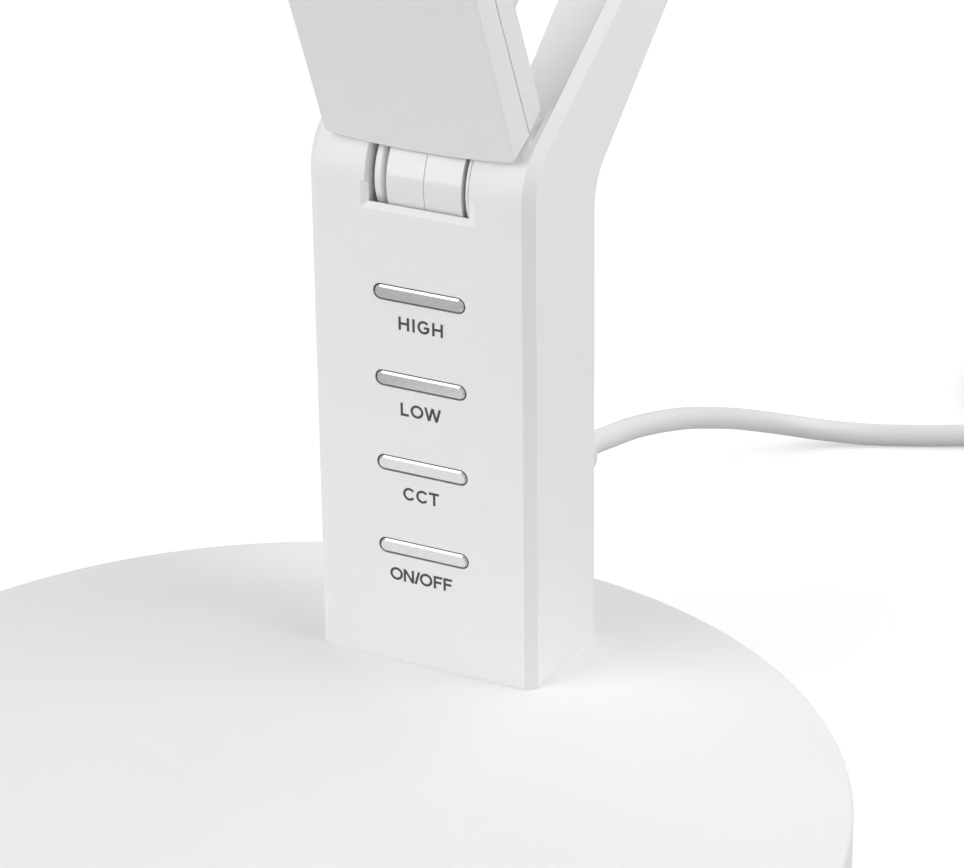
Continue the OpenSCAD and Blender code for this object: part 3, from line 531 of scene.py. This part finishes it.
# %% [markdown]
# ## Printed words
#
# Each button has its use printed under it in dark grey ink: HIGH, LOW, CCT for the colour of the
# light, and ON/OFF. Pad printing leaves a film of ink about 0.03 mm thick with crisp edges. A text
# object would need a font, and these capitals are simple, so each one is drawn as strokes of one
# width along a centre line, as a draughtsman letters a drawing. Its points are in millimetres,
# measured from the middle of the letter's left stem and from its foot.

# %% Letters as centre lines
LETTER_H, STROKE, INK = 2.87, 0.53, 0.03
HALF = STROKE / 2
BAR_Z, TOP_Z, OVER = 1.45, LETTER_H - HALF, 0.1
H_WIDE, N_WIDE, OVAL_SIDES = 1.88, 1.89, 32


def oval(radius, start, stop):
    """Points of a letter-high oval, from one angle to another in degrees."""
    step = (stop - start) / OVAL_SIDES
    angles = [math.radians(start + step * i) for i in range(OVAL_SIDES + 1)]
    middle = LETTER_H / 2
    return [
        (radius * (1 + math.cos(a)), middle + (middle - HALF) * math.sin(a)) for a in angles
    ]


STEM = [(0, 0), (0, LETTER_H)]
LETTERS = {
    "C": [oval(1.15, 38, 322)],
    "F": [[(0, 0), (0, TOP_Z), (1.74, TOP_Z)], [(HALF, BAR_Z), (1.53, BAR_Z)]],
    "G": [oval(1.14, 42, 318) + [(2.15, 0.95), (2.15, 1.35), (1.2, 1.35)]],
    "H": [STEM, [(H_WIDE, 0), (H_WIDE, LETTER_H)], [(HALF, BAR_Z), (H_WIDE - HALF, BAR_Z)]],
    "I": [STEM],
    "L": [[(0, LETTER_H), (0, HALF), (1.61, HALF)]],
    "N": [[(0, 0), (0, LETTER_H - 0.08), (N_WIDE, 0.08), (N_WIDE, LETTER_H)]],
    "O": [oval(1.2, 0, 360)],
    "T": [[(0, TOP_Z), (2.29, TOP_Z)], [(1.19, 0), (1.19, LETTER_H - STROKE)]],
    "W": [[(-0.03, LETTER_H + OVER), (0.77, 0), (1.6, LETTER_H), (2.46, 0),
           (3.3, LETTER_H + OVER)]],
    "/": [[(-0.03, -OVER), (0.86, LETTER_H + OVER)]],
}
print("letters", len(LETTERS), "strokes", sum(len(lines) for lines in LETTERS.values()))

# %% [markdown]
# ## From centre lines to ink
#
# A stroke is a flat strip along its line, mitred where the line turns. In a closed line, such as
# the O, the last point meets the first. A cut at the top and at the foot makes all letters the
# same height and their slanting ends level. A Solidify modifier gives the ink its thickness and
# takes it 0.01 mm into the housing, so that no gap is left under it. The foot of each word lies
# 7.55 mm under the middle of its button.

# %% Strokes
def stroke(bm, points):
    """A flat strip along a line of points, mitred where the line turns."""
    path = [Vector(p) for p in points]
    closed = (path[0] - path[-1]).length < 0.001
    ahead = [(b - a).normalized() for a, b in zip(path, path[1:])]
    sides = [Vector((-d.y, d.x)) for d in ahead]
    before = [sides[-1] if closed else sides[0]] + sides
    after = sides + [sides[0] if closed else sides[-1]]
    rows = []
    for here, side_1, side_2 in zip(path, before, after):
        mitre = (side_1 + side_2).normalized()
        reach = mitre * HALF / mitre.dot(side_1)
        rows.append([bm.verts.new((p.x, 0, p.y)) for p in (here - reach, here + reach)])
    for (low_1, high_1), (low_2, high_2) in zip(rows, rows[1:]):
        bm.faces.new((low_1, low_2, high_2, high_1))


# %% Words
COLUMN_FRONT, LABEL_DROP, SUNK = 56, 7.55, 0.01
ink = plain_finish("pad_printing_ink", "#474747", "#404040", 0.5, 0.3, 0.003)


def word(name, button, letters):
    """The ink of one word under its button, on the column's front."""
    bm = bmesh.new()
    for letter, left in letters:
        for line in LETTERS[letter]:
            stroke(bm, [(left + x, z) for x, z in line])
    for level, outwards in ((0, -1), (LETTER_H, 1)):
        bmesh.ops.bisect_plane(
            bm, geom=bm.verts[:] + bm.edges[:] + bm.faces[:], plane_co=(0, 0, level),
            plane_no=(0, 0, outwards), clear_outer=True,
        )
    low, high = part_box(button)
    foot = (low[2] + high[2]) / 2 - LABEL_DROP * MM
    bmesh.ops.scale(bm, vec=(MM, MM, MM), verts=bm.verts)
    bmesh.ops.translate(bm, vec=(0, (COLUMN_FRONT - INK) * MM, foot), verts=bm.verts)
    piece = new_piece(name, bm)
    film = piece.modifiers.new("film", "SOLIDIFY")
    film.thickness = (INK + SUNK) * MM
    piece.data.materials.append(ink)
    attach(piece, "stand")
    print("foot of", name, "at", round(foot / MM, 2), "mm")


word("word_high", "high_button", [("H", -4.48), ("I", -1.35), ("G", -0.19), ("H", 3.12)])
word("word_low", "low_button", [("L", -4.42), ("O", -2.15), ("W", 1.0)])
word("word_cct", "cct_button", [("C", -4.24), ("C", -1.23), ("T", 1.44)])
word(
    "word_on_off", "on_off_button",
    [("O", -7.66), ("N", -4.54), ("/", -2.04), ("O", -0.79), ("F", 2.44), ("F", 4.71)],
)

# %% [markdown]
# ## World
#
# A white object on white needs soft light from all round that is still stronger from some sides
# than from others, so that each face keeps its own grey. The world gives only a dim even part of
# it. Mirror-like surfaces see the world much brighter, as they would see a white room, and the
# camera sees it white. The Light Path node tells these rays apart.

# %% Rays of the camera and rays from mirrors
def ray_kinds(owner):
    """Two outputs: 1 for the camera's own rays, and 1 for rays that left a mirror or glass."""
    rays = add(owner, "ShaderNodeLightPath")
    mirrored = add(
        owner, "ShaderNodeMath",
        {0: rays.outputs["Is Glossy Ray"], 1: rays.outputs["Is Transmission Ray"]},
        operation="MAXIMUM",
    )
    return rays.outputs["Is Camera Ray"], mirrored.outputs[0]


# %% World
EVEN_LIGHT, MIRRORED_LIGHT = 0.16, 0.8
world = bpy.data.worlds.new("studio")
scene.world = world
world.use_nodes = True
world.node_tree.nodes.clear()
from_camera, from_mirror = ray_kinds(world)
strength = add(
    world, "ShaderNodeMapRange",
    {"Value": from_mirror, "To Min": EVEN_LIGHT, "To Max": MIRRORED_LIGHT},
)
shown = add(
    world, "ShaderNodeMath", {0: strength.outputs[0], 1: from_camera}, operation="MAXIMUM"
)
sky = add(
    world, "ShaderNodeBackground", {"Color": (1, 1, 1, 1), "Strength": shown.outputs[0]}
)
add(world, "ShaderNodeOutputWorld", {"Surface": sky.outputs[0]})
scene.view_settings.view_transform = "Standard"
print("world", EVEN_LIGHT, "even,", MIRRORED_LIGHT, "mirrored, 1 to the camera")

# %% [markdown]
# ## Lamps
#
# Seven square softboxes stand round the lamp, 1.8 m from it, and give each side its own light. A
# large lamp close by makes the soft shadow that suits a white housing. Their places and their
# size are in metres, and their power is in watts.

# %% Softboxes
LIT_POINT = Vector((0, 0.05, 0.1))
LAMP_FAR, LAMP_SIZE = 1.8, 1.2


def softbox(name, azimuth, elevation, power):
    """A square lamp at two angles in degrees, turned towards the lit point."""
    around, up = math.radians(azimuth), math.radians(elevation)
    outwards = Vector((
        math.cos(around) * math.cos(up), math.sin(around) * math.cos(up), math.sin(up)
    ))
    lamp = bpy.data.lights.new(name, "AREA")
    lamp.size = LAMP_SIZE
    lamp.energy = power
    holder = bpy.data.objects.new(name, lamp)
    holder.location = LIT_POINT + outwards * LAMP_FAR
    holder.rotation_mode = "QUATERNION"
    holder.rotation_quaternion = outwards.to_track_quat("Z", "Y")
    holder.visible_camera = False
    scene.collection.objects.link(holder)
    print("lamp", name, power, "W")


softbox("left_high", -128.9, 50, 10.4)
softbox("left_low", -128.9, 15, 12.4)
softbox("right_high", 11.1, 50, 12.4)
softbox("right_low", 11.1, 15, 7.5)
softbox("back_right", 71.1, 40, 7.7)
softbox("back_left", 121.1, 25, 2.4)
softbox("front", -90, 20, 1.7)

# %% [markdown]
# ## Floor
#
# The floor is pale grey, and what the camera sees of it is lifted to white where nothing shades
# it. From 500 mm to 1300 mm away the glow rises to full white, as on the sweep of paper behind a
# studio table, so that no far edge shows. Mirrors see hardly any of that glow.

# %% Floor
FLOOR_HALF = 3000 * MM
corners = [(x * FLOOR_HALF, y * FLOOR_HALF, 0) for x, y in ((-1, -1), (1, -1), (1, 1), (-1, 1))]
mesh = bpy.data.meshes.new("floor")
mesh.from_pydata(corners, [], [(0, 1, 2, 3)])
floor = bpy.data.objects.new("floor", mesh)
scene.collection.objects.link(floor)
print("floor", 2 * FLOOR_HALF, "m square")

# %% Paint and glow of the floor
SWEEP_FROM, SWEEP_TO, NEAR_GLOW, MIRRORED_GLOW = 500, 1300, 0.5, 0.02
desk, mm = new_material("pale_desk")
paint = add(desk, "ShaderNodeBsdfDiffuse", {"Color": linear("#CFCFCF")})
from_camera, from_mirror = ray_kinds(desk)
lift = add(
    desk, "ShaderNodeMath", {0: from_mirror, 1: MIRRORED_GLOW, 2: from_camera},
    operation="MULTIPLY_ADD",
)
distance = add(desk, "ShaderNodeVectorMath", {0: mm}, operation="LENGTH")
sweep = add(
    desk, "ShaderNodeMapRange",
    {"Value": distance.outputs["Value"], "From Min": SWEEP_FROM, "From Max": SWEEP_TO,
     "To Min": NEAR_GLOW},
)
glow = add(
    desk, "ShaderNodeMath", {0: lift.outputs[0], 1: sweep.outputs[0]}, operation="MULTIPLY"
)
shine = add(desk, "ShaderNodeEmission", {"Strength": glow.outputs[0]})
surface = add(desk, "ShaderNodeAddShader", {0: paint.outputs[0], 1: shine.outputs[0]})
mesh.materials.append(close(desk, surface))

# %% [markdown]
# ## Finish
#
# The last line brings the places of all objects up to date.

# %% Finish
bpy.context.view_layer.update()
